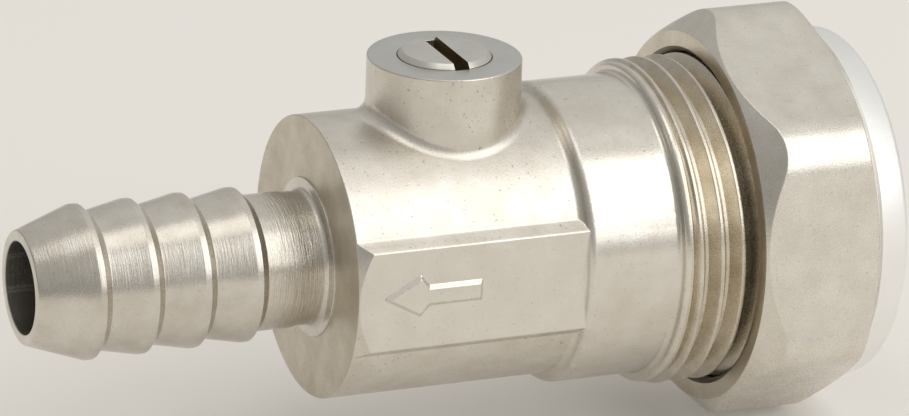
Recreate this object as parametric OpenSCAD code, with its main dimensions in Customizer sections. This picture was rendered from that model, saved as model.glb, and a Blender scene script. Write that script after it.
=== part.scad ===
// Isolating ball valve for a 15 mm pipe: a compression end, a slotted spindle and a barbed hose tail.
// X runs along the waterway towards the pipe, Z up the spindle, and the origin is the pipe stop.

/* [Hose tail] */
// Outside diameter of the tail at its mouth
tail_mouth_d = 7.5; // [7:0.1:8.6]
// Bore through the tail
tail_bore_d = 6.1; // [4:0.1:6.4]
// Diameter over the barbs
barb_d = 10.2; // [9.6:0.1:12]
// Diameter in the valleys between the barbs
barb_root_d = 9.1; // [8.6:0.1:9.4]
// Number of barbs
barb_count = 4; // [2:1:6]
// Distance from one barb to the next
barb_pitch = 3.57; // [2.6:0.01:5]
// Distance from the mouth to the middle of the first crest
first_barb = 4; // [2.5:0.1:6]
// Length of each barb's level crest
barb_land = 0.4; // [0.3:0.05:0.8]
// Length of the drop behind each crest
barb_back = 0.55; // [0.3:0.05:1]
// Diameter of the plain neck
neck_d = 9; // [8.4:0.1:9.4]
// Distance from the last crest to the body's face
neck_length = 5.09; // [4:0.01:10]
// Diameter of the turned ring at the neck's root
root_ring_d = 10.6; // [10:0.1:12]

/* [Body] */
// Distance from the ball's centre to the turned face at the tail
face_distance = 9.3; // [9:0.1:12]
// Diameter of the ball chamber outside
chamber_d = 18.8; // [18:0.1:24]
// Distance from the ball's centre to the shoulder
shoulder_distance = 6.2; // [5.8:0.1:7]
// Diameter of the barrel between shoulder and thread
barrel_d = 20.2; // [19.4:0.1:21.4]
// Distance from the ball's centre to the barrel's end
barrel_end = 12.85; // [12:0.05:14]
// Height of the level top of the boss above the ball's centre
boss_height = 13.1; // [12.9:0.05:16]
// Diameter of the boss
boss_d = 10.25; // [9.8:0.05:13]
// Radius of the fillet at the boss's foot
boss_fillet_r = 0.9; // [0.5:0.1:1.2]

/* [Flats and arrow] */
// Width of the level part of each side flat
flat_width = 6.8; // [5:0.1:8]
// Height of the bevel along each side flat
flat_bevel = 0.55; // [0.4:0.05:1]
// Length of the flow arrow
arrow_length = 6.6; // [5:0.1:8]
// Width of the arrow's head
arrow_head = 2.6; // [2:0.1:3.6]
// Width of the arrow's shaft
arrow_shaft = 1.2; // [0.8:0.1:1.6]
// Height of the arrow above the flat
arrow_height = 0.25; // [0.15:0.05:0.4]

/* [Compression thread] */
// Diameter over the thread
thread_d = 22; // [21.8:0.1:24]
// Rise of the thread in one turn
thread_pitch = 1.5; // [1.25:0.05:1.8]
// Length from the barrel's end to the body's end
thread_length = 10.15; // [9:0.05:14]
// Outside diameter of the pipe
pipe_d = 15; // [14.6:0.1:15.2]
// Gap all round the pipe in its socket
pipe_gap = 0.1; // [0.08:0.01:0.14]

/* [Nut] */
// Width of the nut across its flats
nut_flats = 25.3; // [25:0.1:30]
// Radius of the nut's rounded corners
nut_corner_r = 4; // [2:0.1:6]
// Length of the nut
nut_length = 10.8; // [10.2:0.1:14]
// Length of the round collar behind the hexagon
collar_length = 2.47; // [1.5:0.01:3.5]
// Diameter of the round collar
collar_d = 24.6; // [23:0.1:24.8]
// Diameter of the nut's face inside its chamfer
nut_face_d = 25; // [24:0.1:27]
// How far a corner of the nut is turned from the spindle side
nut_turned = 6.8; // [-30:0.1:30]
// Radial room between the nut and the thread's crests
nut_thread_gap = 0.1; // [0.1:0.01:0.2]
// Length of the nut's wall beyond the olive
nut_rim = 1.87; // [1.2:0.01:3]

/* [Olive] */
// Length of the olive
olive_length = 6.2; // [5.6:0.1:7]
// Diameter of the olive at its middle
olive_d = 17.6; // [17.2:0.1:18]
// Thickness of the olive's ends
olive_edge = 0.35; // [0.25:0.05:0.45]
// Length of each cone of the olive
olive_cone = 2; // [1.6:0.1:2.4]
// Gap between the olive and each cone that grips it
olive_gap = 0.06; // [0.04:0.01:0.1]

/* [Ball and seats] */
// Diameter of the ball
ball_d = 13.2; // [12.6:0.1:13.4]
// Bore of the ball
port_d = 7.5; // [6:0.1:8]
// Diameter of the chamber inside, which holds the seats
cavity_d = 13.8; // [13.7:0.05:13.9]
// Radial room for the ball in the body
ball_room = 0.25; // [0.15:0.05:0.4]
// Distance from the ball's surface to the back of each seat
seat_back = 1; // [0.8:0.1:1.2]
// Bore of each seat
seat_bore_d = 7.7; // [7.6:0.1:8.2]
// Distance from the ball's centre to the front rim of each seat
seat_front = 3.5; // [3:0.1:4]
// Gap between the ball and its seats
ball_gap = 0.05; // [0.03:0.01:0.1]
// Length of the threaded seat retainer
retainer_length = 3.5; // [2.5:0.1:4]
// Diameter of the seat retainer
retainer_d = 14.6; // [14.4:0.1:15]
// Bore of the seat retainer
retainer_bore_d = 8.4; // [7.8:0.1:9]
// Width of the key slots across the retainer
key_slot = 1.6; // [1:0.1:2]

/* [Spindle] */
// Diameter of the spindle's stem
stem_d = 6.2; // [5.4:0.1:6.6]
// Radial running clearance of the stem
stem_gap = 0.05; // [0.03:0.01:0.08]
// Diameter of the flange that holds the spindle in
flange_d = 7.8; // [7.6:0.1:8.4]
// Thickness of the flange
flange_thickness = 0.9; // [0.7:0.1:1.1]
// Thickness of the thrust washer
washer_thickness = 0.4; // [0.3:0.05:0.6]
// Distance from the roof over the ball to the top of the thrust washer
washer_seat = 1.4; // [1.2:0.1:1.8]
// How far the spindle stands above the boss
spindle_proud = 0.35; // [0.2:0.05:1]
// Width of the screwdriver slot
slot_width = 1.02; // [0.8:0.02:1.4]
// Depth of the screwdriver slot
slot_depth = 1.1; // [0.8:0.1:1.3]
// Width of the tang that turns the ball
tang_width = 2.2; // [1.8:0.1:2.6]
// Length of the tang
tang_length = 5; // [4:0.1:5.6]
// Gap round the tang in the ball's slot
tang_gap = 0.05; // [0.03:0.01:0.1]
// Height of the tang's lower end above the ball's centre
tang_floor = 5.3; // [5.1:0.1:5.6]
// Thickness of each sealing ring
ring_section = 1; // [0.8:0.05:1.1]

/* [Hidden] */
$fn = 96;

nickel = [0.78, 0.76, 0.71];
turned_nickel = [0.72, 0.69, 0.63];
bare_brass = [0.80, 0.66, 0.38];
seat_white = [0.93, 0.93, 0.90];
seal_black = [0.10, 0.10, 0.10];

// A cut runs this far past the face that it opens
past = 1;
// Broken edges and small roundings
edge = 0.1;
lip = 0.2;
ring_step = 0.12;
round_steps = 5;
corner_steps = 8;

// Stations along X, from the ball's centre
cavity_floor = ball_d / 2 + seat_back;
retainer_end = cavity_floor + retainer_length;
thread_relief = 0.4;
pipe_stop = retainer_end + thread_relief;
body_end = barrel_end + thread_length;
last_barb = face_distance + neck_length;
tail_end = last_barb + (barb_count - 1) * barb_pitch + first_barb;

// Neck root: a shallow turned groove, a fillet and a thin ring
root_groove_depth = 0.08;
root_groove_d = neck_d - 2 * root_groove_depth;
root_groove_start = 1.7;
root_fillet_r = 0.45;

// Shoulder between chamber and barrel
shoulder_r = 0.5;
shoulder_rise = (barrel_d - chamber_d) / 2;
shoulder_run = curve_run(shoulder_rise, shoulder_r);

// Collar between barrel and thread
collar_band_drop = 0.2;
collar_band_d = thread_d - 2 * collar_band_drop;
band_r = 0.35;
band_length = 0.9;

// Thread form, in shares of the pitch as metric threads have it
depth_share = 0.6134;
crest_share = 0.16;
flank_angle = 30;
thread_depth = depth_share * thread_pitch;
thread_core_d = thread_d - 2 * thread_depth;
crest_width = crest_share * thread_pitch;
thread_bury = 0.1;
thread_start = barrel_end + band_length - thread_pitch / 8;
thread_steps = 48;
end_chamfer = 0.8;

// Fillet at the boss's foot
foot_steps = 72;
foot_lip = 0.05;
foot_bury = 0.3;

// Side flats
flat_distance = chamber_d / 2;
flat_corner_run = 0.95;
flat_corner_r = norm([flat_distance, flat_width / 2]);
bevel_run = 0.87;

// Pipe socket and the cones that grip the olive
socket_d = pipe_d + 2 * pipe_gap;
olive_end_d = socket_d + 2 * olive_edge;
olive_slope = (olive_d - olive_end_d) / 2 / olive_cone;
mouth_room = 0.1;
mouth_d = olive_d + 2 * mouth_room;
mouth_cone = (mouth_d - socket_d) / 2 / olive_slope;
olive_start = body_end - ((mouth_d - olive_end_d) / 2 - olive_gap) / olive_slope;
olive_end = olive_start + olive_length;

// Nut
nut_end = olive_end + nut_rim;
nut_start = nut_end - nut_length;
hex_end = nut_end - collar_length;
nut_bore_d = thread_d + 2 * nut_thread_gap;
nut_mouth_bevel = 0.35;
nut_mouth_d = nut_bore_d + 2 * nut_mouth_bevel;
nut_hole_room = 0.05;
nut_hole_d = socket_d + 2 * nut_hole_room;
nut_chamfer_angle = 47.6;
nut_back_angle = 25;
nut_chamfer_slope = tan(nut_chamfer_angle);
nut_back_slope = tan(nut_back_angle);
nut_sides = 6;
nut_turn_step = 360 / nut_sides;
nut_corner_d = 2 * ((nut_flats / 2 - nut_corner_r) / cos(nut_turn_step / 2) + nut_corner_r);
nut_groove = 0.15;
collar_taper = 0.35;
collar_round = 0.5;
collar_round_start = 75;
// The nut's cone follows the olive's far cone at the same gap
nut_cone_start = olive_end - olive_cone - (mouth_d / 2 - olive_d / 2 - olive_gap) / olive_slope;
nut_cone_end = nut_cone_start + (mouth_d - nut_hole_d) / 2 / olive_slope;

// Spindle heights above the ball's centre
stem_bore_d = stem_d + 2 * stem_gap;
roof_gap = 0.3;
washer_top = ball_d / 2 + roof_gap + washer_seat;
flange_top = washer_top - washer_thickness;
flange_bottom = flange_top - flange_thickness;
flange_room = 0.1;
flange_bore_d = flange_d + 2 * flange_room;
spindle_top = boss_height + spindle_proud;
spindle_bevel = 0.32;
seal_gap = 0.02;
// Two ring grooves, midway between the thrust washer and the floor of the screwdriver slot
groove_room = 0.2;
groove_width = ring_section + groove_room;
groove_squeeze = 0.15;
groove_d = stem_d - 2 * (1 - groove_squeeze) * ring_section;
groove_land = 0.5;
groove_margin = (spindle_top - slot_depth - washer_top - groove_land) / 2 - groove_width;
lower_groove = washer_top + groove_margin;
upper_groove = lower_groove + groove_width + groove_land;
// The slot in the ball runs this far below the tang
tang_clear = 0.2;

// Puts a piece that is drawn about the ball's centre into the part's frame
module in_frame() translate([-pipe_stop, 0, 0]) children();

// Turns a profile of [along X, radius] points about the waterway
module turned(profile) rotate([0, 90, 0]) rotate_extrude() polygon([for (p = profile) [p[1], p[0]]]);

// A round bar along the waterway from x0 to x1
module bar(x0, x1, d) translate([x0, 0, 0]) rotate([0, 90, 0]) cylinder(h = x1 - x0, d = d);

// A round bar up the spindle's axis from z0 to z1
module post(z0, z1, d) translate([0, 0, z0]) cylinder(h = z1 - z0, d = d);

// How far an S-shaped step of this rise, with this radius at top and bottom, runs along X
function curve_angle(rise, size) = acos(max(0, 1 - abs(rise) / (2 * size)));
function curve_run(rise, size) = 2 * size * sin(curve_angle(rise, size));

function arc(x, r, size, from, to) =
    [for (i = [0 : round_steps]) let(a = from + (to - from) * i / round_steps)
        [x + size * cos(a), r + size * sin(a)]];

// Two equal arcs, with a straight stretch between them where the step is high, that carry
// a turned outline from radius r by rise, which may be negative, starting at x
function step_curve(x, r, rise, size) =
    let(angle = curve_angle(rise, size), run = curve_run(rise, size), up = sign(rise),
        gap = abs(rise) - 2 * size * (1 - cos(angle)))
    rise == 0 ? [[x, r]] : concat(
        [for (i = [0 : round_steps]) let(a = angle * i / round_steps)
            [x + size * sin(a), r + up * size * (1 - cos(a))]],
        [for (i = [gap > edge ? 0 : 1 : round_steps]) let(a = angle * (1 - i / round_steps))
            [x + run - size * sin(a), r + rise - up * size * (1 - cos(a))]]);

function barb_x(i) = -tail_end + first_barb + i * barb_pitch;

function barb_profile(i, behind_d) = [
    [barb_x(i) - barb_land / 2, barb_d / 2],
    [barb_x(i) + barb_land / 2, barb_d / 2],
    [barb_x(i) + barb_land / 2 + barb_back, behind_d / 2]];

function neck_profile() = concat(
    [[-face_distance - root_groove_start, neck_d / 2],
     [-face_distance - root_groove_start, root_groove_d / 2]],
    arc(-face_distance - ring_step - root_fillet_r, root_groove_d / 2 + root_fillet_r, root_fillet_r, -90, 0),
    [[-face_distance - ring_step, root_ring_d / 2], [-face_distance, root_ring_d / 2]]);

// Outline of the tail, chamber, barrel and thread core
function body_profile() = concat(
    [[-tail_end, 0]],
    arc(-tail_end + lip, tail_mouth_d / 2 - lip, lip, 180, 90),
    [for (i = [0 : barb_count - 1]) each barb_profile(i, i < barb_count - 1 ? barb_root_d : neck_d)],
    neck_profile(),
    [[-face_distance, chamber_d / 2 - edge], [-face_distance + edge, chamber_d / 2]],
    step_curve(shoulder_distance, chamber_d / 2, shoulder_rise, shoulder_r),
    step_curve(barrel_end, barrel_d / 2, (collar_band_d - barrel_d) / 2, band_r),
    [[barrel_end + band_length, collar_band_d / 2],
     [barrel_end + band_length + thread_depth / 2, thread_core_d / 2],
     [body_end - end_chamfer, thread_core_d / 2],
     [body_end, thread_core_d / 2 - end_chamfer / 2],
     [body_end, 0]]);

// One cross-section of the thread's ridge, after i steps of the helix
function ridge_section(i, last) =
    let(a = 360 * i / thread_steps,
        x = thread_start + thread_pitch * i / thread_steps,
        h = thread_depth * min(1, (last - i) * 4 / thread_steps),
        foot = crest_width / 2 + (h + thread_bury) * tan(flank_angle),
        low = thread_core_d / 2 - thread_bury,
        high = thread_core_d / 2 + h)
    [for (p = [[-foot, low], [-crest_width / 2, high], [crest_width / 2, high], [foot, low]])
        [x + p[0], p[1] * cos(a), p[1] * sin(a)]];

// The right-hand thread, as one ridge that winds along the core and runs out before its end
module thread_ridge() {
    last = floor((body_end - end_chamfer - thread_start) / thread_pitch * thread_steps);
    points = [for (i = [0 : last]) each ridge_section(i, last)];
    sides = [for (i = [0 : last - 1]) for (j = [0 : 3])
        let(a = 4 * i + j, b = 4 * i + (j + 1) % 4)
        each [[a, b, a + 4], [b, b + 4, a + 4]]];
    polyhedron(points, concat([[3, 2, 1, 0]], sides, [[for (j = [0 : 3]) 4 * last + j]]));
}

// Height of the chamber's outside at distance r from the spindle, in the direction a
function chamber_top(r, a) = sqrt(pow(chamber_d / 2, 2) - pow(r * sin(a), 2));

// One cross-section of the fillet between boss and chamber, in the direction a
function foot_section(a) =
    let(r = boss_d / 2, z = chamber_top(r, a), size = boss_fillet_r,
        slope = atan((z - chamber_top(r + size, a)) / size),
        top = z + size * tan((90 - slope) / 2) + foot_lip,
        low = z - size)
    [for (p = concat([[r - foot_bury, top]],
        [for (i = [0 : round_steps]) let(t = 180 + (90 - slope) * i / round_steps)
            [r + foot_lip + size + size * cos(t), top + size * sin(t)]],
        [[r + foot_lip + size - size * sin(slope), low], [r - foot_bury, low]]))
        [p[0] * cos(a), p[0] * sin(a), p[1]]];

// The fillet follows the line where the upright boss meets the lying chamber
module boss_foot() {
    corners = round_steps + 4;
    points = [for (i = [0 : foot_steps - 1]) each foot_section(360 * i / foot_steps)];
    faces = [for (i = [0 : foot_steps - 1]) for (j = [0 : corners - 1])
        let(k = (i + 1) % foot_steps, n = (j + 1) % corners,
            a = i * corners + j, b = i * corners + n, c = k * corners + j, d = k * corners + n)
        each [[a, c, b], [b, c, d]]];
    polyhedron(points, faces);
}

// The level pad on each side of the chamber, cut round where the face was turned
module side_flat(side) {
    reach = flat_distance - chamber_d / 4;
    intersection() {
        translate([-face_distance, 0, 0]) rotate([90, 0, 90])
            linear_extrude(height = face_distance + shoulder_distance + shoulder_run)
                polygon([for (s = [-1, 1]) each [for (p = s < 0
                    ? [[reach, flat_width / 2 + flat_bevel], [flat_distance - bevel_run, flat_width / 2 + flat_bevel],
                        [flat_distance, flat_width / 2]]
                    : [[flat_distance, flat_width / 2], [flat_distance - bevel_run, flat_width / 2 + flat_bevel],
                        [reach, flat_width / 2 + flat_bevel]]) [side * p[0], -s * p[1]]]]);
        turned([[-face_distance, 0], [-face_distance, chamber_d / 2 - edge / 2],
            [-face_distance + flat_corner_run, flat_corner_r], [0, flat_corner_r + past],
            [shoulder_distance + shoulder_run, flat_corner_r + past],
            [shoulder_distance + shoulder_run, 0]]);
    }
}

// The raised arrow, which points along the flow to the hose tail
module flow_arrow() {
    tip = -7.4;
    head_run = 2.35;
    barb_run = 0.6;
    rise = 0.2;
    translate([tip, -flat_distance + edge, rise]) rotate([90, 0, 0])
        linear_extrude(height = arrow_height + edge)
            polygon([[0, 0], [head_run, arrow_head / 2], [head_run + barb_run, arrow_shaft / 2],
                [arrow_length, arrow_shaft / 2], [arrow_length, -arrow_shaft / 2],
                [head_run + barb_run, -arrow_shaft / 2], [head_run, -arrow_head / 2]]);
}

module waterway() {
    bar(-tail_end - past, 0, tail_bore_d);
    bar(-cavity_floor, cavity_floor, cavity_d);
    sphere(d = ball_d + 2 * ball_room);
    bar(cavity_floor, pipe_stop, retainer_d + 2 * seal_gap);
    bar(pipe_stop, body_end + past, socket_d);
    turned([[body_end - mouth_cone, 0], [body_end - mouth_cone, socket_d / 2], [body_end, mouth_d / 2],
        [body_end + past, mouth_d / 2], [body_end + past, 0]]);
}

module body() color(nickel) in_frame() difference() {
    union() {
        turned(body_profile());
        for (side = [-1, 1]) side_flat(side);
        post(0, boss_height - edge, boss_d);
        translate([0, 0, boss_height - edge]) cylinder(h = edge, d1 = boss_d, d2 = boss_d - 2 * edge);
        boss_foot();
        flow_arrow();
        thread_ridge();
    }
    waterway();
    post(0, washer_top, flange_bore_d);
    post(0, boss_height + past, stem_bore_d);
}

module ball() color(bare_brass) in_frame() difference() {
    sphere(d = ball_d);
    translate([0, -ball_d, 0]) rotate([-90, 0, 0]) cylinder(h = 2 * ball_d, d = port_d);
    translate([-ball_d, -tang_width / 2 - tang_gap, tang_floor - tang_clear])
        cube([2 * ball_d, tang_width + 2 * tang_gap, ball_d]);
}

// A seat ring that cups the ball, with its back at the given side
module ball_seat(side) color(seat_white) in_frame() mirror([side < 0 ? 1 : 0, 0, 0]) difference() {
    bar(seat_front, cavity_floor, cavity_d - 2 * seal_gap);
    bar(0, cavity_floor + past, seat_bore_d);
    sphere(d = ball_d + 2 * ball_gap);
}

module ball_seat_outlet() ball_seat(-1);

module ball_seat_inlet() ball_seat(1);

module seat_retainer() color(bare_brass) in_frame() difference() {
    bar(cavity_floor, retainer_end, retainer_d);
    bar(cavity_floor - past, retainer_end + past, retainer_bore_d);
    translate([retainer_end - key_slot / 2, -retainer_d, -key_slot / 2])
        cube([key_slot, 2 * retainer_d, key_slot]);
}

module spindle() color(turned_nickel) in_frame() difference() {
    union() {
        post(flange_bottom, flange_top, flange_d);
        post(flange_top - edge, spindle_top - spindle_bevel, stem_d);
        translate([0, 0, spindle_top - spindle_bevel])
            cylinder(h = spindle_bevel, d1 = stem_d, d2 = stem_d - 2 * spindle_bevel);
        intersection() {
            translate([-tang_length / 2, -tang_width / 2, tang_floor])
                cube([tang_length, tang_width, flange_bottom - tang_floor + edge]);
            post(tang_floor - past, flange_top, flange_d);
        }
    }
    for (z = [lower_groove, upper_groove]) difference() {
        post(z, z + groove_width, stem_d + past);
        post(z - past, z + groove_width + past, groove_d);
    }
    translate([-slot_width / 2, -stem_d, spindle_top - slot_depth])
        cube([slot_width, 2 * stem_d, slot_depth + past]);
}

module spindle_thrust_washer() color(seat_white) in_frame() difference() {
    post(flange_top, washer_top, flange_d);
    post(flange_top - past, washer_top + past, stem_bore_d);
}

// A sealing ring in its groove, pressed to the width of the gap between stem and bore
module spindle_oring(z) color(seal_black) in_frame() {
    inner = groove_d / 2;
    outer = stem_bore_d / 2 - seal_gap;
    middle = (inner + outer) / 2;
    translate([0, 0, z + groove_width / 2]) rotate_extrude() intersection() {
        translate([middle, 0]) circle(d = ring_section + seal_gap);
        translate([inner, -groove_width / 2]) square([outer - inner, groove_width]);
    }
}

module spindle_oring_lower() spindle_oring(lower_groove);

module spindle_oring_upper() spindle_oring(upper_groove);

// The hexagon with round corners, as one outline
module nut_section() {
    reach = (nut_flats / 2 - nut_corner_r) / cos(nut_turn_step / 2);
    polygon([for (k = [0 : nut_sides - 1]) for (i = [0 : corner_steps])
        let(middle = (k + 1 / 2) * nut_turn_step, a = middle + (i / corner_steps - 1 / 2) * nut_turn_step)
        [reach * cos(middle) + nut_corner_r * cos(a), reach * sin(middle) + nut_corner_r * sin(a)]]);
}

module compression_nut() color(nickel) in_frame() difference() {
    intersection() {
        union() {
            translate([nut_start, 0, 0]) rotate([0, 90, 0]) rotate(nut_turn_step / 2 - nut_turned)
                linear_extrude(height = hex_end - nut_start) nut_section();
            bar(nut_start, nut_end, collar_d);
        }
        turned(concat([[nut_start, 0], [nut_start, nut_face_d / 2],
            [nut_start + (nut_corner_d / 2 - nut_face_d / 2) * nut_chamfer_slope, nut_corner_d / 2],
            [hex_end - (nut_corner_d - collar_d) / 2 * nut_back_slope, nut_corner_d / 2],
            [hex_end, collar_d / 2 - nut_groove / 2], [hex_end + nut_groove, collar_d / 2 - nut_groove],
            [hex_end + 2 * nut_groove, collar_d / 2]],
            arc(nut_end - collar_round, collar_d / 2 - collar_taper - collar_round, collar_round,
                collar_round_start, 0),
            [[nut_end, 0]]));
    }
    turned([[nut_start - past, 0], [nut_start - past, nut_mouth_d / 2], [nut_start, nut_mouth_d / 2],
        [nut_start + (nut_mouth_d - nut_bore_d) / 2, nut_bore_d / 2], [nut_cone_start, nut_bore_d / 2],
        [nut_cone_start, mouth_d / 2], [nut_cone_end, nut_hole_d / 2], [nut_end + past, nut_hole_d / 2],
        [nut_end + past, 0]]);
}

module olive() color(bare_brass) in_frame() difference() {
    turned([[olive_start, 0], [olive_start, olive_end_d / 2], [olive_start + olive_cone, olive_d / 2],
        [olive_end - olive_cone, olive_d / 2], [olive_end, olive_end_d / 2], [olive_end, 0]]);
    bar(olive_start - past, olive_end + past, socket_d);
}

body();
ball();
ball_seat_outlet();
ball_seat_inlet();
seat_retainer();
spindle();
spindle_thrust_washer();
spindle_oring_lower();
spindle_oring_upper();
compression_nut();
olive();
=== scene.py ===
import bpy
import bmesh
import math
import numpy as np
from mathutils import Matrix, Vector


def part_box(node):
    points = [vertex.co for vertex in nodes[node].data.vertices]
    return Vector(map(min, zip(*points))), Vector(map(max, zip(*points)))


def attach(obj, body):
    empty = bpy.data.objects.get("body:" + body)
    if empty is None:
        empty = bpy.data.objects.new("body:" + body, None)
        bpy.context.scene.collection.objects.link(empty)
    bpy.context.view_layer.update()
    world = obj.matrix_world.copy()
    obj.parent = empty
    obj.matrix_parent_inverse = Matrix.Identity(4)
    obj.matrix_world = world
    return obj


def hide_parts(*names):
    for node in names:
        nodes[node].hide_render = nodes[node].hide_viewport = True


# Lengths below are millimetres about the ball's centre, as measured on the object.
# mm() brings them into the frame: metres, with the pipe stop at the origin.
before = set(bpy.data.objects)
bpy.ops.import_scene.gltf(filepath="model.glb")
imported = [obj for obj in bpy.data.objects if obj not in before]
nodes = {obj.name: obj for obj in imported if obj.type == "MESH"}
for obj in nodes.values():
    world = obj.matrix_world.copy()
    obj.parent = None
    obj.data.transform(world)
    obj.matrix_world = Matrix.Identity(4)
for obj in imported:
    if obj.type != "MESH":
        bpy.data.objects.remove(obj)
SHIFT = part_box("ball")[0].x * 1000 / 2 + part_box("ball")[1].x * 1000 / 2
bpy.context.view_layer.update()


def mm(points):
    return (np.asarray(points, float) + (SHIFT, 0, 0)) / 1000


# Camera
AZ, EL, ROLL = math.radians(-23.179), math.radians(20.059), math.radians(2.214)
DIST, FOCAL, TX, TY, CX, CY, WIDE = 390.876, 5894.801, -1.225, -2.712, 0.983, -7.234, 909
back = Vector((math.sin(AZ) * math.cos(EL), -math.cos(AZ) * math.cos(EL), math.sin(EL)))
right = Vector((math.cos(AZ), math.sin(AZ), 0))
up = back.cross(right)
right2 = math.cos(ROLL) * right + math.sin(ROLL) * up
up2 = -math.sin(ROLL) * right + math.cos(ROLL) * up
place = DIST * back - TX * right2 - TY * up2 + Vector((SHIFT, 0, 0))
cam_data = bpy.data.cameras.new("camera")
cam = bpy.data.objects.new("camera", cam_data)
bpy.context.scene.collection.objects.link(cam)
cam.matrix_world = Matrix.Translation(place / 1000) @ Matrix((right2, up2, back)).transposed().to_4x4()
cam_data.sensor_fit, cam_data.sensor_width = "HORIZONTAL", 36
cam_data.lens = FOCAL / WIDE * 36
cam_data.shift_x, cam_data.shift_y = -(CX + 0.5) / WIDE, (CY + 0.5) / WIDE
cam_data.clip_start, cam_data.clip_end = 0.01, 20
bpy.context.scene.camera = cam


# Mesh helpers
def rounded(corners, k=4, closed=True):
    """Each corner is (a, b, radius); every corner with a radius becomes k + 1 points."""
    n, out = len(corners), []
    for i, (a, b, rad) in enumerate(corners):
        p = np.array((a, b), float)
        if rad <= 0 or (not closed and i in (0, n - 1)):
            out.append(p)
            continue
        u = np.array(corners[i - 1][:2], float) - p
        v = np.array(corners[(i + 1) % n][:2], float) - p
        lu, lv = max(np.hypot(*u), 1e-6), max(np.hypot(*v), 1e-6)
        u, v = u / lu, v / lv
        half = 0.5 * math.acos(np.clip(u @ v, -1, 1))
        t = max(min(rad / max(math.tan(half), 1e-3), 0.45 * lu, 0.45 * lv), 0.002)
        for j in range(k + 1):
            s = j / k
            out.append((1 - s) ** 2 * (p + u * t) + 2 * s * (1 - s) * p + s * s * (p + v * t))
    return out


def angles(n, centres=(), reach=0.0, extra=0):
    """Even angles in degrees, with more of them near the given ones."""
    a = list(np.arange(n) * 360 / n)
    for c in centres:
        a += list((c + np.linspace(-reach, reach, extra)) % 360)
    a = np.unique(np.round(a, 4))
    keep = [a[0]]
    for v in a[1:]:
        if v - keep[-1] > 0.04:
            keep.append(v)
    return np.array(keep)


def lathe(degrees, column, axis):
    """Closed columns of (along, radius) points, one for each angle, joined all the way round."""
    cols = np.array([column(d) for d in degrees])
    n, m = cols.shape[:2]
    c, s = np.cos(np.radians(degrees))[:, None], np.sin(np.radians(degrees))[:, None]
    along, r = cols[..., 0], cols[..., 1]
    xyz = (along, r * c, r * s) if axis == "x" else (r * c, r * s, along)
    pts = np.stack(np.broadcast_arrays(*xyz), -1).reshape(-1, 3)
    i, j = np.meshgrid(np.arange(n), np.arange(m), indexing="ij")
    i2, j2 = (i + 1) % n, (j + 1) % m
    quads = np.stack([i * m + j, i * m + j2, i2 * m + j2, i2 * m + j], -1).reshape(-1, 4)
    return pts, quads.tolist()


def build(name, parts):
    """One object from several (points in mm, faces)."""
    pts, faces, base = [], [], 0
    for p, f in parts:
        pts.append(np.asarray(p, float))
        faces += [[base + q for q in g] for g in f]
        base += len(p)
    me = bpy.data.meshes.new(name)
    me.from_pydata(mm(np.concatenate(pts)).tolist(), [], faces)
    bm = bmesh.new()
    bm.from_mesh(me)
    bmesh.ops.remove_doubles(bm, verts=bm.verts, dist=1e-8)
    bmesh.ops.recalc_face_normals(bm, faces=bm.faces)
    bm.to_mesh(me)
    bm.free()
    ob = bpy.data.objects.new(name, me)
    bpy.context.scene.collection.objects.link(ob)
    return ob


def apply_modifiers(ob):
    bpy.context.view_layer.update()
    done = bpy.data.meshes.new_from_object(ob.evaluated_get(bpy.context.evaluated_depsgraph_get()))
    ob.modifiers.clear()
    ob.data = done


def cut(ob, tool):
    mod = ob.modifiers.new("cut", "BOOLEAN")
    mod.operation, mod.solver, mod.object = "DIFFERENCE", "MANIFOLD", tool
    apply_modifiers(ob)
    bpy.data.objects.remove(tool)


def shade(ob, sharp=38):
    """Smooth, apart from edges sharper than the angle."""
    me = ob.data
    me.polygons.foreach_set("use_smooth", [True] * len(me.polygons))
    bm = bmesh.new()
    bm.from_mesh(me)
    for e in bm.edges:
        e.smooth = not (len(e.link_faces) == 2 and e.calc_face_angle(0) > math.radians(sharp))
    bm.to_mesh(me)
    bm.free()
    mod = ob.modifiers.new("normals", "WEIGHTED_NORMAL")
    mod.keep_sharp, mod.weight = True, 50
    apply_modifiers(ob)


# Body
FACE, R, BARREL = -9.3, 9.4, 10.1
BARBS = (-25.10, -21.53, -17.96, -14.39)
SHOULDER, SH_R = 6.2, 0.5
SH_A = math.acos(1 - (BARREL - R) / (2 * SH_R))
SH_RUN = 2 * SH_R * math.sin(SH_A)
END, CORE, SOCKET, MOUTH = 23.0, 10.08, 7.6, 8.9
PAD, PAD_H, CREASE_Y, CREASE_Z = 9.4, 3.4, 8.53, 3.95
A1, A2 = math.degrees(math.atan2(PAD_H, PAD)), math.degrees(math.atan2(CREASE_Z, CREASE_Y))


def blur(f, d, w):
    """A function of the angle, smoothed over a width in degrees."""
    k = np.linspace(-1, 1, 9)
    g = np.exp(-2 * k * k)
    return float(sum(gi * f(d + w * ki) for gi, ki in zip(g, k)) / g.sum())


def pad_sharp(d):
    """Outside radius of the chamber where a side flat may stand proud of the round."""
    phi = abs((d + 90) % 180 - 90)
    if phi <= A1:
        return PAD / math.cos(math.radians(phi))
    if phi >= A2:
        return R
    t = math.radians(phi)
    dy, dz = CREASE_Y - PAD, CREASE_Z - PAD_H
    return (PAD * dz - PAD_H * dy) / (math.cos(t) * dz - math.sin(t) * dy)


def pad_radius(d):
    return blur(pad_sharp, d, 0.75)


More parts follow.
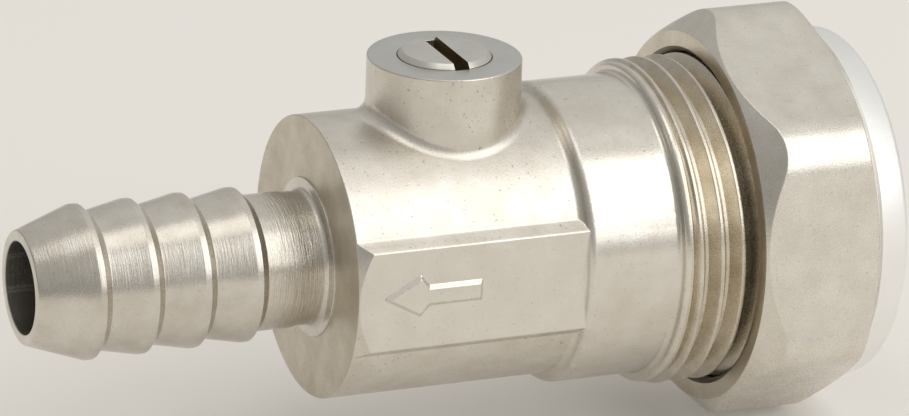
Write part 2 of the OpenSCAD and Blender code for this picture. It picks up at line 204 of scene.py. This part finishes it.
def body_column(d):
    rp = pad_radius(d)
    c = [(-29.1, 3.05, 0.06), (-29.1, 3.75, 0.16)]
    for i, x in enumerate(BARBS):
        low = 4.55 if i < 3 else 4.5
        c += [(x - 0.2, 5.1, 0.10), (x + 0.2, 5.1, 0.05), (x + 0.75, low, 0.12)]
    c += [(-11.0, 4.5, 0.03), (-11.0, 4.42, 0.03), (-9.42, 4.42, 0.42), (-9.42, 5.3, 0.05), (FACE, 5.3, 0.02)]
    c += [(FACE, R - 0.05, 0.05), (FACE + (rp - R + 0.05) / 0.68, rp, 0.10)]
    c += [(0, rp, 0)]
    for u in np.linspace(0, 1, 13):
        a = u * 2 * SH_A
        if a <= SH_A:
            x, r = SHOULDER + SH_R * math.sin(a), R + SH_R * (1 - math.cos(a))
        else:
            b = 2 * SH_A - a
            x, r = SHOULDER + SH_RUN - SH_R * math.sin(b), BARREL - SH_R * (1 - math.cos(b))
        c.append((x, max(r, rp), 0))
    for u in np.linspace(0, 1, 9):
        a = u * math.pi
        x = 12.85 + 0.35 * (math.sin(a) if a <= math.pi / 2 else 2 - math.sin(a))
        r = BARREL + 0.35 * (1 - math.cos(a))
        c.append((x, r, 0))
    c += [(13.75, 10.8, 0.05), (14.21, CORE, 0.05), (22.2, CORE, 0.1), (END, 9.68, 0.08)]
    c += [(END, MOUTH, 0.05), (21.1, SOCKET, 0.05), (11.5, SOCKET, 0), (11.5, 7.32, 0), (7.6, 7.32, 0)]
    c += [(7.6, 6.9, 0), (-7.6, 6.9, 0), (-7.6, 3.05, 0)]
    return rounded(c)


edges = [s * a + b for b in (0, 180) for s in (-1, 1) for a in (A1, A2)]
body_parts = [lathe(angles(232, edges, 1.9, 15), body_column, "x")]

# the boss, with a fillet that follows the line where it meets the round chamber
BOSS, BOSS_TOP, STEM, FOOT = 5.12, 13.10, 3.15, 0.95


def boss_column(d):
    s2 = math.sin(math.radians(d)) ** 2
    top = lambda q: math.sqrt(R * R - q * q * s2)
    lean = lambda q: math.atan(q * s2 / top(q))
    lo, hi = BOSS, BOSS + FOOT
    for _ in range(40):
        mid = (lo + hi) / 2
        lo, hi = (mid, hi) if mid + FOOT * math.sin(lean(mid)) < BOSS + FOOT else (lo, mid)
    q, a = lo, lean(lo)
    cz = top(q) + FOOT * math.cos(a)
    c = [(8.0, STEM, 0), (BOSS_TOP, STEM, 0.05), (BOSS_TOP, BOSS, 0.13)]
    for u in np.linspace(0, 1, 11):
        t = math.radians(180) + u * (math.pi / 2 - a)
        c.append((cz + FOOT * math.sin(t) - 0.004 * u, BOSS + FOOT + FOOT * math.cos(t), 0))
    c.append((c[-1][0] - 0.6, c[-1][1] - 0.05, 0))
    return rounded([(p[0], p[1], p[2]) for p in c])


body_parts.append(lathe(angles(180), boss_column, "z"))

# the thread: one ridge along a helix, sunk into the core
PITCH, THREAD, TURN0 = 1.5, 11.0, 0.0
START = 13.5625


def thread_part(x0, x1, inner, outer, turn0, steps=96):
    n = int((x1 - x0) / PITCH * steps)
    foot = 0.12 + abs(outer - inner) * math.tan(math.radians(30))
    sunk = inner - 0.1
    sec = [(-foot - 0.05, sunk, 0), (-0.12, outer, 0.07), (0.12, outer, 0.07), (foot + 0.05, sunk, 0)]
    ring = np.array(rounded(sec, 3, closed=False))
    m, pts = len(ring), []
    for i in range(n + 1):
        fade = min(1, (n - i) * 4 / steps)
        a = math.radians(360 * i / steps + turn0)
        rr = ring[0, 1] + (ring[:, 1] - ring[0, 1]) * max(fade, 0.02)
        x = x0 + PITCH * i / steps + ring[:, 0]
        pts += [(xx, q * math.cos(a), q * math.sin(a)) for xx, q in zip(x, rr)]
    faces = [[i * m + j, i * m + (j + 1) % m, (i + 1) * m + (j + 1) % m, (i + 1) * m + j]
             for i in range(n) for j in range(m)]
    return pts, faces + [list(range(m)), [n * m + j for j in range(m)]]


body_parts.append(thread_part(START, 22.2, CORE, THREAD, TURN0))


# the arrow, soft-edged as a forged mark is
def arrow_part():
    upper = [(-7.4, 0), (-5.05, 1.3), (-4.45, 0.6), (-0.8, 0.6)]
    shape = np.array(upper + [(x, -z) for x, z in upper[:0:-1]])
    xs, zs = np.linspace(-7.85, -0.35, 151), np.linspace(-1.75, 1.75, 71)
    gx, gz = np.meshgrid(xs, zs, indexing="ij")
    dist, inside = np.full(gx.shape, 9.0), np.zeros(gx.shape, bool)
    for (ax, az), (bx, bz) in zip(shape, np.roll(shape, -1, 0)):
        t = np.clip(((gx - ax) * (bx - ax) + (gz - az) * (bz - az)) / ((bx - ax) ** 2 + (bz - az) ** 2), 0, 1)
        dist = np.minimum(dist, np.hypot(gx - ax - t * (bx - ax), gz - az - t * (bz - az)))
        inside ^= ((az > gz) != (bz > gz)) & (gx < (bx - ax) * (gz - az) / (bz - az + 1e-12) + ax)
    sd = np.where(inside, -dist, dist)
    t = np.clip(0.5 - sd / 0.34, 0, 1)
    h = 0.25 * t * t * (3 - 2 * t) - 0.006
    rim = (gx <= xs[0]) | (gx >= xs[-1]) | (gz <= zs[0]) | (gz >= zs[-1])
    h[rim] = -0.05
    pts = np.stack([gx, -(PAD + h), gz + 0.2], -1).reshape(-1, 3)
    m = len(zs)
    return pts, [[i * m + j, i * m + j + 1, (i + 1) * m + j + 1, (i + 1) * m + j]
                 for i in range(len(xs) - 1) for j in range(m - 1)]


def disc(z0, z1, r, n=96):
    a = np.radians(np.arange(n) * 360 / n)
    ring = np.stack([r * np.cos(a), r * np.sin(a)], -1)
    pts = [(*p, z0) for p in ring] + [(*p, z1) for p in ring]
    sides = [[i, (i + 1) % n, n + (i + 1) % n, n + i] for i in range(n)]
    return pts, [list(range(n))[::-1], list(range(n, 2 * n))] + sides


shell = build("shell", body_parts[:1])
cut(shell, build("stem_hole", [disc(5.0, 12.0, STEM)]))
rest = build("rest", body_parts[1:] + [arrow_part()])
bm = bmesh.new()
bm.from_mesh(shell.data)
bm.from_mesh(rest.data)
bm.to_mesh(shell.data)
bm.free()
bpy.data.objects.remove(rest)
shell.name = "valve_body"
shade(shell)

# Nut
NUT0, HEX_END, NUT_END = 18.176, 26.506, 28.974
FLAT, CORNER, TURNED = 12.649, 4.0, 6.8
REACH = (FLAT - CORNER) / math.cos(math.radians(30))
S1, S2 = math.tan(math.radians(47.6)), math.tan(math.radians(25))


def hex_radius(d):
    # a corner points near +Z, turned by a few degrees
    psi = (d - 90 - TURNED * -1) % 60
    psi = min(psi, 60 - psi)
    if psi <= math.degrees(math.atan2(CORNER * 0.5, REACH + CORNER * math.cos(math.radians(30)))):
        t = math.radians(psi)
        return REACH * math.cos(t) + math.sqrt(CORNER ** 2 - (REACH * math.sin(t)) ** 2)
    return FLAT / math.cos(math.radians(30 - psi))


def nut_column(d):
    h = hex_radius(d)
    c = [(NUT0, 11.45, 0.05), (NUT0, 12.5, 0.05), (NUT0 + (h - 12.5) * S1, h, 0.16)]
    c += [(22.0, h, 0), (HEX_END - (h - 12.3) * S2, h, 0.16)]
    c += [(HEX_END, 12.24, 0.03), (HEX_END + 0.15, 12.15, 0.03)]
    c += [(HEX_END + 0.3, 12.3, 0.05), (NUT_END, 11.77, 0.5), (NUT_END, 7.65, 0.08)]
    c += [(27.2, 7.65, 0), (25.2, 8.9, 0), (25.2, 11.1, 0), (NUT0 + 0.35, 11.1, 0.05)]
    return rounded(c)


nut = build("nut", [lathe(angles(300), nut_column, "x")])
shade(nut)

# Spindle
SP_TOP, SP_R = 13.45, 3.1


def block(x0, x1, y0, y1, z0, z1):
    p = [(x, y, z) for x in (x0, x1) for y in (y0, y1) for z in (z0, z1)]
    return p, [[0, 1, 3, 2], [4, 6, 7, 5], [0, 4, 5, 1], [2, 3, 7, 6], [0, 2, 6, 4], [1, 5, 7, 3]]


def spindle_part():
    """A bar turned about Z up to its top, closed on the axis."""
    prof = [(5.3, 0, 0), (5.3, 1.1, 0), (7.0, 1.1, 0), (7.0, 3.9, 0), (7.9, 3.9, 0), (7.9, SP_R, 0)]
    prof += [(SP_TOP - 0.32, SP_R, 0.06), (SP_TOP, SP_R - 0.32, 0.06), (SP_TOP, 0, 0)]
    prof = rounded(prof, 4, closed=False)
    n, m = 128, len(prof)
    a = np.radians(np.arange(n) * 360 / n)
    pts = [(r * math.cos(t), r * math.sin(t), z) for t in a for z, r in prof[1:-1]]
    m2 = m - 2
    low, high = len(pts), len(pts) + 1
    pts += [(0, 0, prof[0][0]), (0, 0, prof[-1][0])]
    f = [[i * m2 + j, i * m2 + j + 1, ((i + 1) % n) * m2 + j + 1, ((i + 1) % n) * m2 + j]
         for i in range(n) for j in range(m2 - 1)]
    f += [[low, i * m2, ((i + 1) % n) * m2] for i in range(n)]
    f += [[high, ((i + 1) % n) * m2 + m2 - 1, i * m2 + m2 - 1] for i in range(n)]
    return pts, f


spindle = build("stem", [spindle_part()])
cut(spindle, build("slot", [block(-0.51, 0.51, -4, 4, SP_TOP - 1.1, SP_TOP + 1)]))
shade(spindle)


# Materials
def material(name):
    mat = bpy.data.materials.new(name)
    mat.use_nodes = True
    nt = mat.node_tree
    nt.nodes.clear()
    out = nt.nodes.new("ShaderNodeOutputMaterial")
    bsdf = nt.nodes.new("ShaderNodeBsdfPrincipled")
    nt.links.new(bsdf.outputs[0], out.inputs[0])
    return mat, nt, bsdf


def node(nt, kind, inputs=None, **props):
    n = nt.nodes.new(kind)
    for k, v in props.items():
        setattr(n, k, v)
    for k, v in (inputs or {}).items():
        if isinstance(v, bpy.types.NodeSocket):
            nt.links.new(v, n.inputs[k])
        else:
            n.inputs[k].default_value = v
    return n


def millimetres(nt, scale=(1, 1, 1)):
    tc = node(nt, "ShaderNodeTexCoord")
    ins = {"Vector": tc.outputs["Object"], "Scale": [1000 * s for s in scale]}
    return node(nt, "ShaderNodeMapping", ins).outputs[0]


def noise(nt, vec, scale, detail=3.0, rough=0.5):
    ins = {"Vector": vec, "Scale": scale, "Detail": detail, "Roughness": rough}
    return node(nt, "ShaderNodeTexNoise", ins).outputs[0]


def ramp(nt, fac, stops):
    n = node(nt, "ShaderNodeValToRGB", {"Fac": fac})
    els = n.color_ramp.elements
    while len(els) < len(stops):
        els.new(0.5)
    for e, (pos, col) in zip(els, stops):
        e.position, e.color = pos, (*col, 1)
    return n.outputs[0]


def span(nt, val, a, b, c, d):
    ins = {"Value": val, "From Min": a, "From Max": b, "To Min": c, "To Max": d}
    return node(nt, "ShaderNodeMapRange", ins).outputs[0]


def maths(nt, op, *vals):
    return node(nt, "ShaderNodeMath", dict(enumerate(vals)), operation=op).outputs[0]


def bump(nt, height, dist, normal=None):
    ins = {"Height": height, "Distance": dist / 1000, "Strength": 1.0}
    if normal is not None:
        ins["Normal"] = normal
    return node(nt, "ShaderNodeBump", ins).outputs[0]


def mixed(nt, fac, a, b):
    n = nt.nodes.new("ShaderNodeMix")
    n.data_type = "RGBA"
    for i, v in ((0, fac), (6, a), (7, b)):
        if isinstance(v, bpy.types.NodeSocket):
            nt.links.new(v, n.inputs[i])
        else:
            n.inputs[i].default_value = v
    return n.outputs[2]


def metal(name, tint, rough, speck=0.010, grain=9.0, marks=0.0, along=(12, 0.4, 0.4),
          pits=0.0, blotch=0.14, flakes=0.0):
    """Plated metal. speck: depth of the blasted speckle; marks: depth of turned lines; pits: how dark
    the small pits are; blotch: how much the shade drifts; flakes: depth of a pressed flat's grain."""
    mat, nt, bsdf = material(name)
    vec = millimetres(nt)
    fine = noise(nt, vec, grain, 3, 0.6)
    slow = noise(nt, vec, 0.45, 4, 0.6)
    low = tuple(c * (1 - blotch * w) for c, w in zip(tint, (0.9, 1.0, 1.25)))
    col = ramp(nt, slow, [(0.32, low), (0.66, tint)])
    if pits:
        dots = noise(nt, vec, grain * 0.55, 2, 0.5)
        mask = span(nt, dots, 0.66, 0.74, 0, pits)
        col = mixed(nt, mask, col, (0.10, 0.075, 0.045, 1))
    nt.links.new(col, bsdf.inputs["Base Color"])
    bsdf.inputs["Metallic"].default_value = 1
    nt.links.new(span(nt, fine, 0.25, 0.75, rough - 0.05, rough + 0.07), bsdf.inputs["Roughness"])
    normal = bump(nt, fine, speck)
    if marks:
        lines = noise(nt, millimetres(nt, along), 1.0, 3, 0.65)
        normal = bump(nt, lines, marks, normal)
    if flakes:
        warp = node(nt, "ShaderNodeTexNoise", {"Vector": vec, "Scale": 2.2, "Detail": 2.0})
        ins = {0: vec, 1: warp.outputs["Color"]}
        bent = node(nt, "ShaderNodeVectorMath", ins, operation="ADD").outputs[0]
        for turn in (0.6, -0.9):
            ins = {"Vector": bent, "Rotation": (0, turn, 0), "Scale": (7, 2, 2.2)}
            m = node(nt, "ShaderNodeMapping", ins).outputs[0]
            normal = bump(nt, noise(nt, m, 1.3, 2, 0.55), flakes, normal)
    nt.links.new(normal, bsdf.inputs["Normal"])
    return mat


forged = metal("forged_nickel", (0.735, 0.70, 0.635), 0.30, 0.016, 8.0, pits=0.5)
# the left face's darker, browner tint is painted shade: it stands in for the shadowed floor that the face
# reflects
face_painted_shade_m = metal("turned_face_painted_shade", (0.66, 0.61, 0.52), 0.38, 0.010, 12.0, marks=0.002, along=(1, 1, 1),
               pits=0.55, blotch=0.22)
pad_m = metal("side_flat", (0.76, 0.725, 0.66), 0.30, 0.007, 7.0, pits=0.2, blotch=0.08)
barrel_m = metal("barrel_nickel", (0.75, 0.715, 0.65), 0.21, 0.006, 8.0, marks=0.0015, along=(5, 0.3, 0.3),
                 pits=0.3, blotch=0.12)
# the thread's browner, darker tint is painted shade: it stands in for the brown shade on the left-facing
# flanks
thread_painted_shade_m = metal("thread_nickel_painted_shade", (0.70, 0.645, 0.555), 0.24, 0.008, 10.0, marks=0.003,
                 along=(9, 0.4, 0.4), blotch=0.2)
tail_m = metal("turned_tail", (0.69, 0.655, 0.595), 0.23, 0.006, 10.0, marks=0.020,
               along=(9, 0.55, 0.55), pits=0.25, blotch=0.16)
# the dark grey tint of the bores is painted shade: it darkens the hollows inside the body and nut where shade
# falls
bore_painted_shade_m = metal("bore_painted_shade", (0.42, 0.40, 0.37), 0.40, 0.010, 7.0, marks=0.012, along=(6, 0.5, 0.5))
boss_top_m = metal("boss_top", (0.60, 0.595, 0.57), 0.36, 0.012, 9.0, pits=0.2, blotch=0.06)
nut_m = metal("nut_nickel", (0.765, 0.73, 0.665), 0.27, 0.012, 8.0, pits=0.25, blotch=0.12)
frost_m = metal("nut_front_flat", (0.76, 0.74, 0.70), 0.26, 0.016, 8.0, blotch=0.10, flakes=0.045)
# the nut ring's browner, darker tint is painted shade: it stands in for the shadowed surroundings the
# left-facing ring reflects
ring_painted_shade_m = metal("nut_ring_painted_shade", (0.70, 0.645, 0.55), 0.30, 0.008, 9.0, pits=0.3, blotch=0.18)
# the collar's near-white tint is a painted reflection: it stands in for the bright backdrop and glare on the
# nut's right end
collar_painted_reflection_m = metal("nut_collar_painted_reflection", (0.93, 0.925, 0.91), 0.42, 0.010, 7.0, marks=0.008,
                 along=(1.2, 4, 4), blotch=0.03)
stem_m = metal("spindle_nickel", (0.66, 0.65, 0.615), 0.30, 0.010, 9.0, pits=0.25, blotch=0.08)
brass = metal("bare_brass", (0.76, 0.58, 0.28), 0.26, 0.006, 9.0, marks=0.008, blotch=0.1)
chrome = metal("ball_brass", (0.72, 0.71, 0.69), 0.09, 0.001, 9.0, blotch=0.03)
slot_m = metal("slot_wall", (0.30, 0.24, 0.15), 0.42, 0.02, 6.0, pits=0.6, blotch=0.4)


def plain(name, color, rough, grain):
    mat, nt, bsdf = material(name)
    vec = millimetres(nt)
    f = noise(nt, vec, 5.0)
    nt.links.new(ramp(nt, f, [(0.2, tuple(c * 0.9 for c in color)), (0.8, color)]), bsdf.inputs["Base Color"])
    bsdf.inputs["Roughness"].default_value = rough
    nt.links.new(bump(nt, f, grain), bsdf.inputs["Normal"])
    return mat


ptfe = plain("seat_ptfe", (0.88, 0.88, 0.85), 0.45, 0.004)
rubber = plain("seal_rubber", (0.02, 0.02, 0.02), 0.6, 0.006)


def dress(ob, mat):
    ob.data.materials.clear()
    ob.data.materials.append(mat)


def dress_zones(ob, mats, pick):
    """A material for each face, by its centre (mm about the ball) and its normal."""
    ob.data.materials.clear()
    for m in mats:
        ob.data.materials.append(m)
    n = len(ob.data.polygons)
    c, v = np.zeros(n * 3), np.zeros(n * 3)
    ob.data.polygons.foreach_get("center", c)
    ob.data.polygons.foreach_get("normal", v)
    c = c.reshape(-1, 3) * 1000 - (SHIFT, 0, 0)
    ob.data.polygons.foreach_set("material_index", pick(c, v.reshape(-1, 3)).astype(np.int32))


def pick_body(c, v):
    x, y, z = c.T
    r = np.hypot(y, z)
    out = np.zeros(len(x))
    out[x > SHOULDER + SH_RUN - 0.05] = 3
    out[x > 13.5] = 4
    out[x < FACE - 0.01] = 5
    out[(np.abs(x - FACE) < 0.03) & (v[:, 0] < -0.5) & (r < 9.45)] = 1
    out[(np.abs(y) > PAD - 0.02) & (np.abs(z) < PAD_H + 0.1) & (x > FACE) & (x < 7.2)] = 2
    steps = [(-29.1, 3.12), (-7.6, 3.12), (-7.59, 6.95), (7.6, 6.95)]
    steps += [(7.61, 7.65), (21.0, 7.65), (21.1, 7.7), (23, 9.0)]
    inner = np.interp(x, *np.transpose(steps))
    out[(r < inner) & (z < 7.0)] = 6
    out[(z > BOSS_TOP - 0.03) & (v[:, 2] > 0.7)] = 7
    return out


dress_zones(shell, (forged, face_painted_shade_m, pad_m, barrel_m, thread_painted_shade_m, tail_m, bore_painted_shade_m, boss_top_m), pick_body)


def pick_nut(c, v):
    x, y, z = c.T
    r = np.hypot(y, z)
    out = np.zeros(len(x))
    front = np.array((0, -math.cos(math.radians(TURNED)), -math.sin(math.radians(TURNED))))
    out[(v @ front) > 0.9985] = 1
    out[(x < NUT0 + 0.05) & (r < 12.6)] = 2
    out[x > HEX_END + 0.1] = 3
    out[r < 11.3] = 4
    return out


dress_zones(nut, (nut_m, frost_m, ring_painted_shade_m, collar_painted_reflection_m, bore_painted_shade_m), pick_nut)


def pick_spindle(c, v):
    x, y, z = c.T
    return ((np.abs(x) < 0.515) & (z < SP_TOP - 0.01) & (z > SP_TOP - 1.15)).astype(float)


dress_zones(spindle, (stem_m, slot_m), pick_spindle)

for ob, mat in ((nodes["ball"], chrome),
                (nodes["seat_retainer"], brass), (nodes["olive"], brass), (nodes["ball_seat_outlet"], ptfe),
                (nodes["ball_seat_inlet"], ptfe), (nodes["spindle_thrust_washer"], ptfe),
                (nodes["spindle_oring_lower"], rubber), (nodes["spindle_oring_upper"], rubber)):
    dress(ob, mat)

for ob, body, name, slot in ((shell, "valve", "body", "forged_nickel"),
                             (nut, "nut", "compression_nut", "nut_nickel"),
                             (spindle, "spindle_unit", "spindle", "spindle_nickel")):
    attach(ob, body)
    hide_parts(name)

# Floor and light
me = bpy.data.meshes.new("floor")
me.from_pydata([(-3, -3, -0.0143), (3, -3, -0.0143), (3, 3, -0.0143), (-3, 3, -0.0143)], [], [[0, 1, 2, 3]])
floor = bpy.data.objects.new("floor", me)
bpy.context.scene.collection.objects.link(floor)
fmat, nt, bsdf = material("floor")
bsdf.inputs["Base Color"].default_value = (0.84, 0.81, 0.76, 1)
bsdf.inputs["Roughness"].default_value = 0.9
bsdf.inputs["Specular IOR Level"].default_value = 0.0
lp = node(nt, "ShaderNodeLightPath")
seen = maths(nt, "MAXIMUM", lp.outputs["Is Camera Ray"], lp.outputs["Is Glossy Ray"])
seen = maths(nt, "MAXIMUM", seen, lp.outputs["Is Transmission Ray"])
glow = node(nt, "ShaderNodeEmission", {"Color": (1, 1, 1, 1), "Strength": maths(nt, "MULTIPLY", seen, 0.10)})
both = node(nt, "ShaderNodeAddShader", {0: bsdf.outputs[0], 1: glow.outputs[0]})
nt.links.new(both.outputs[0], [n for n in nt.nodes if n.type == "OUTPUT_MATERIAL"][0].inputs[0])
dress(floor, fmat)

world = bpy.data.worlds.new("world")
bpy.context.scene.world = world
world.use_nodes = True
nt = world.node_tree
nt.nodes.clear()
out = node(nt, "ShaderNodeOutputWorld")
sep = node(nt, "ShaderNodeSeparateXYZ", {"Vector": node(nt, "ShaderNodeTexCoord").outputs["Generated"]})
levels = ((0.5, 0.50), (0.58, 0.58), (0.70, 0.68), (0.93, 0.78))
height = ramp(nt, span(nt, sep.outputs["Z"], -1, 1, 0, 1), [(at, (v,) * 3) for at, v in levels])
side = span(nt, sep.outputs["X"], -0.9, 0.5, 0.55, 1.0)
ins = {"Color": (1, 0.985, 0.955, 1), "Strength": maths(nt, "MULTIPLY", height, side)}
room = node(nt, "ShaderNodeBackground", ins)
nt.links.new(room.outputs[0], out.inputs[0])


def area(name, az, el, dist, size, level, color=(1, 1, 1)):
    """A soft light az degrees right of the front and el degrees up, as bright as level when seen."""
    a, e = math.radians(az), math.radians(el)
    data = bpy.data.lights.new(name, "AREA")
    data.shape, data.size, data.size_y = "RECTANGLE", size[0] / 1000, size[1] / 1000
    data.energy, data.color = level * math.pi * data.size * data.size_y, color
    ob = bpy.data.objects.new(name, data)
    bpy.context.scene.collection.objects.link(ob)
    aim = Vector(mm([(0, 0, 0)])[0])
    towards = Vector((math.sin(a) * math.cos(e), -math.cos(a) * math.cos(e), math.sin(e)))
    ob.location = aim + towards * dist / 1000
    ob.rotation_euler = (aim - ob.location).to_track_quat("-Z", "Y").to_euler()
    return ob


area("softbox", 34, 35, 500, (420, 500), 1.22)
area("overhead", -10, 82, 600, (420, 300), 0.9, (1, 0.98, 0.95))

bpy.context.scene.view_settings.view_transform = "Standard"
